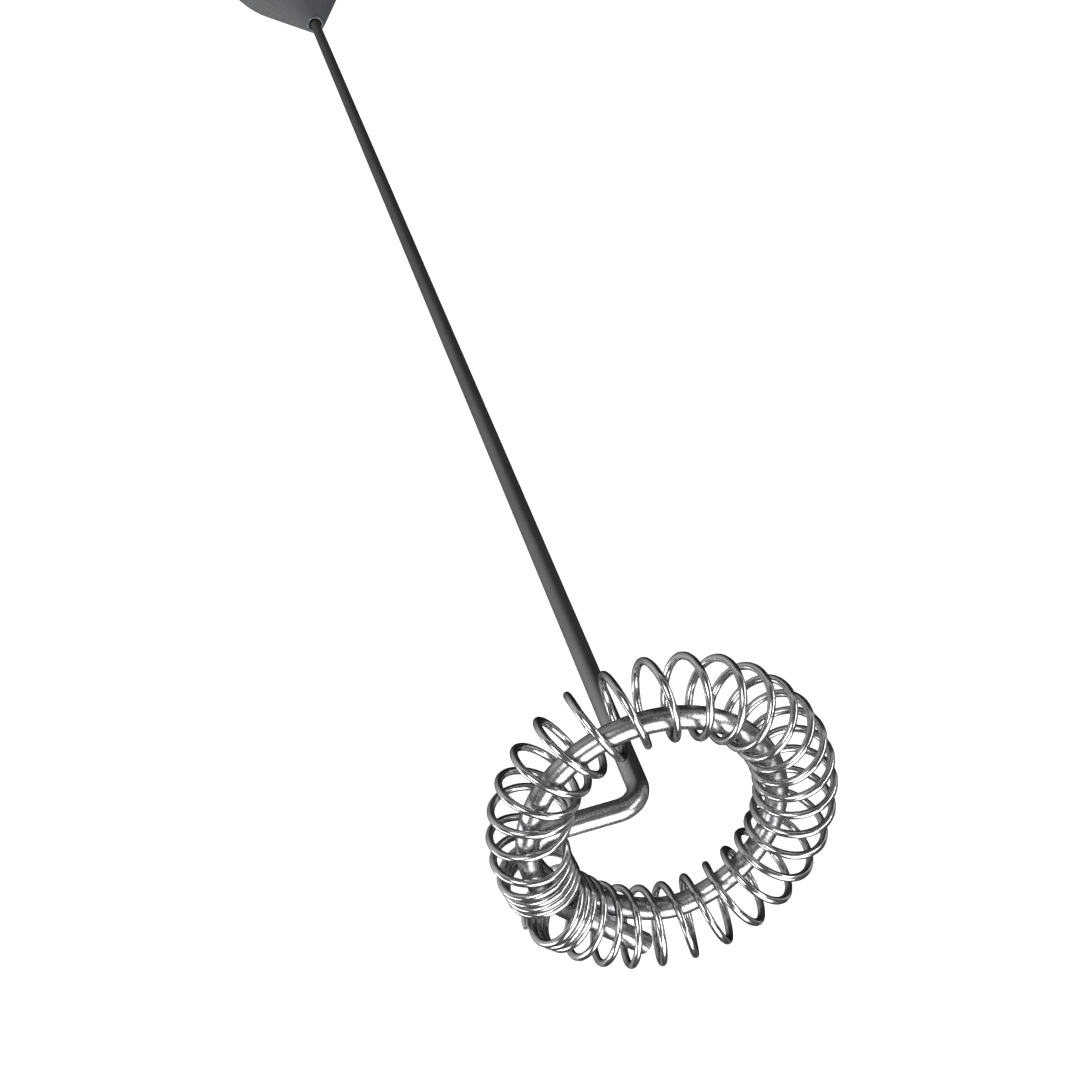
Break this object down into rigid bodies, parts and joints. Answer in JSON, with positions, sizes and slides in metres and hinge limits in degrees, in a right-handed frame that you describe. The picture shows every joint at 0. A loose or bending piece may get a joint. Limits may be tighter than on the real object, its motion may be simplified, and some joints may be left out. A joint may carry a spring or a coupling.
{
  "type": "milk frother",
  "caption": "Battery hand frother: straight cylindrical grip, tapered nose with a thumb button, long thin steel shaft and a ring whisk wound with a coil spring.",
  "frame": {"origin": "middle of the foot pad's underside, on the shaft's axis", "axes": "+Z along the shaft from the grip to the whisk, -Y towards the thumb button, +X along the whisk's radial arm"},
  "size_m": [0.0256, 0.0262, 0.298],
  "materials": {
    "grip_plastic": "glossy dark grey",
    "nose_plastic": "glossy dark grey",
    "trim_plastic": "satin near black",
    "rubber_black": "matt black",
    "rubber_grey": "matt dark grey",
    "bush_plastic": "smooth off-white",
    "chassis_plastic": "smooth pale grey",
    "bell_plastic": "smooth white",
    "cell_jacket": "plain printed jacket",
    "plated_steel": "nickel plate",
    "spring_steel": "polished stainless",
    "whisk_steel": "drawn stainless",
    "shaft_steel": "ground steel",
    "motor_steel": "zinc plate",
    "core_steel": "laminated steel",
    "magnet": "dark ferrite",
    "bronze": "sintered bronze",
    "copper": "bare copper",
    "contact_brass": "rolled brass",
    "lead_jacket": "vinyl jacket"
  },
  "bodies": {
    "handle": {"battery_sleeve": "grip_plastic", "end_cap": "trim_plastic", "foot_pad": "rubber_black"},
    "head": {"nose_cone": "nose_plastic", "shaft_bush": "bush_plastic", "splash_seal": "rubber_grey", "chassis": "chassis_plastic", "chassis_ring": "rubber_black", "chassis_screws": "plated_steel", "cell_left": "cell_jacket", "cell_right": "cell_jacket", "cell_springs": "spring_steel", "cell_plates": "plated_steel", "bridge_strip": "plated_steel", "motor_can": "motor_steel", "motor_end_bell": "bell_plastic", "motor_magnets": "magnet", "motor_bush_front": "bronze", "motor_bush_rear": "bronze", "brushes": "copper", "motor_terminals": "plated_steel", "lead_wires": "lead_jacket", "switch_base": "bell_plastic", "contact_strip": "contact_brass", "contact_leaf": "contact_brass", "button_spring": "spring_steel"},
    "button": {"button": "trim_plastic"},
    "rotor": {"whisk_wire": "whisk_steel", "coil_spring": "spring_steel", "coupling": "contact_brass", "motor_shaft": "shaft_steel", "armature": "core_steel", "windings": "copper", "commutator": "copper"}
  },
  "joints": [
    {"name": "head_pull", "type": "slide", "parent": "handle", "child": "head", "axis": [0, 0, 1], "range_m": [0, 0.056]},
    {"name": "button_press", "type": "slide", "parent": "head", "child": "button", "axis": [0, 1, 0], "range_m": [0, 0.0008], "stiffness_N_per_m": 800, "deforming": ["button_spring", "contact_leaf"]},
    {"name": "whisk_spin", "type": "hinge", "parent": "head", "child": "rotor", "pos_m": [0, 0, 0.12], "axis": [0, 0, 1], "continuous": true}
  ]
}
